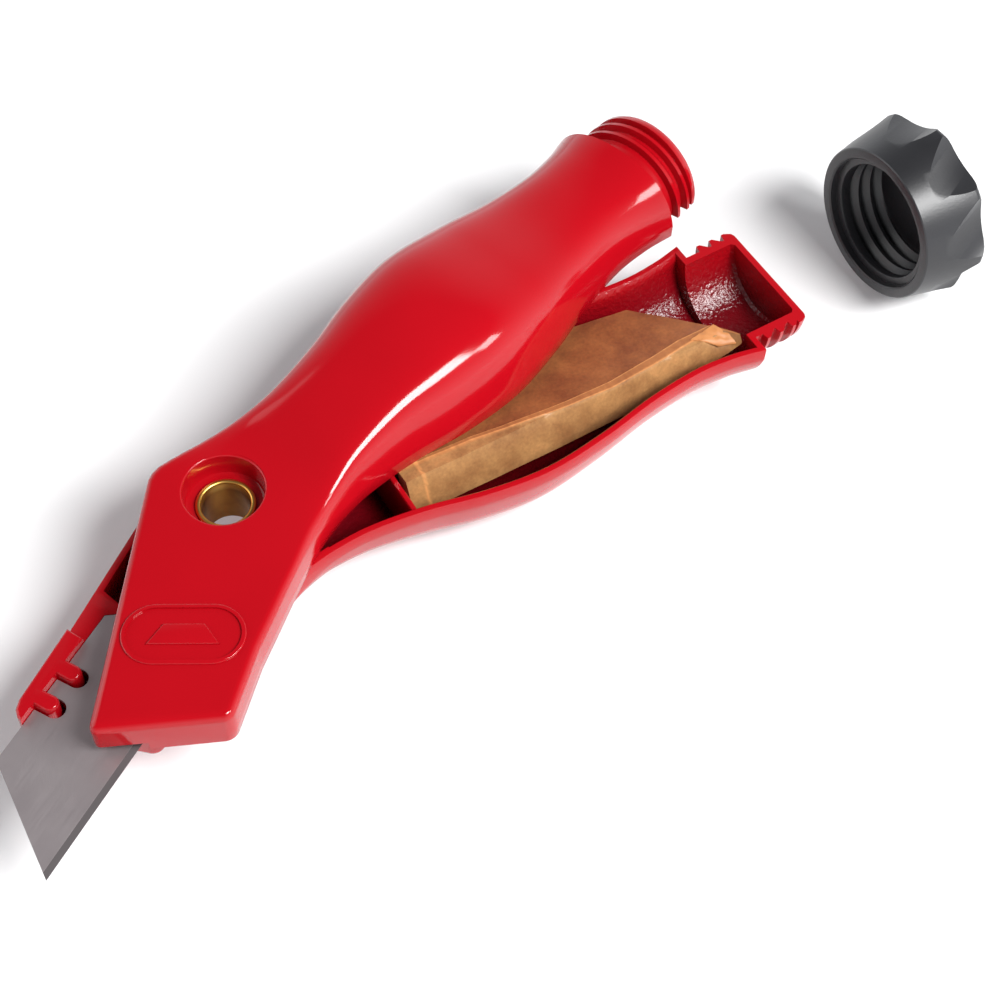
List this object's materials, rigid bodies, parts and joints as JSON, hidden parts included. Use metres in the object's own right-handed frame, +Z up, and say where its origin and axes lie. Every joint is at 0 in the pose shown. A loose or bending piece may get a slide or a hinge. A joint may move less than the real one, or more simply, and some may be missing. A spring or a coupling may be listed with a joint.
{
  "type": "lino cutter",
  "caption": "Two-shell lino and carpet knife with a humped hollow handle that swings open on a rivet, a trapezoid blade held by lugs, a wrapped blade store and a screw end cap.",
  "frame": {"origin": "on the pivot rivet's axis, in the plane where the two shells meet", "axes": "+X along the back shell's handle to its threaded end, +Y away from the cutting edge, +Z up out of the back shell along the rivet"},
  "size_m": [0.209, 0.0901, 0.0368],
  "materials": {
    "red_enamel": "glossy red enamel on die-cast zinc",
    "brass": "drawn and rolled, lightly tarnished",
    "blade_steel": "ground strip, fine lengthwise grain",
    "black_plastic": "satin moulded, fine spark texture",
    "waxed_paper": "brown waxed wrapping paper"
  },
  "bodies": {
    "back_shell": {"back_shell": "red_enamel", "pivot_rivet": "brass", "working_blade": "blade_steel", "blade_wrapper": "waxed_paper", "spare_blade_01": "blade_steel", "spare_blade_02": "blade_steel", "spare_blade_03": "blade_steel", "spare_blade_04": "blade_steel", "spare_blade_05": "blade_steel", "spare_blade_06": "blade_steel", "spare_blade_07": "blade_steel", "spare_blade_08": "blade_steel", "spare_blade_09": "blade_steel", "spare_blade_10": "blade_steel"},
    "front_shell": {"front_shell": "red_enamel"},
    "end_cap": {"end_cap": "black_plastic"}
  },
  "joints": [
    {"name": "shell_pivot", "type": "hinge", "parent": "back_shell", "child": "front_shell", "pos_m": [0, 0, 0], "axis": [0, 0, 1], "range_deg": [-17.7, 102.3]},
    {"name": "cap_slide", "type": "slide", "parent": "back_shell", "child": "end_cap", "axis": [1, 0, 0], "range_m": [-0.0254, 0]}
  ]
}
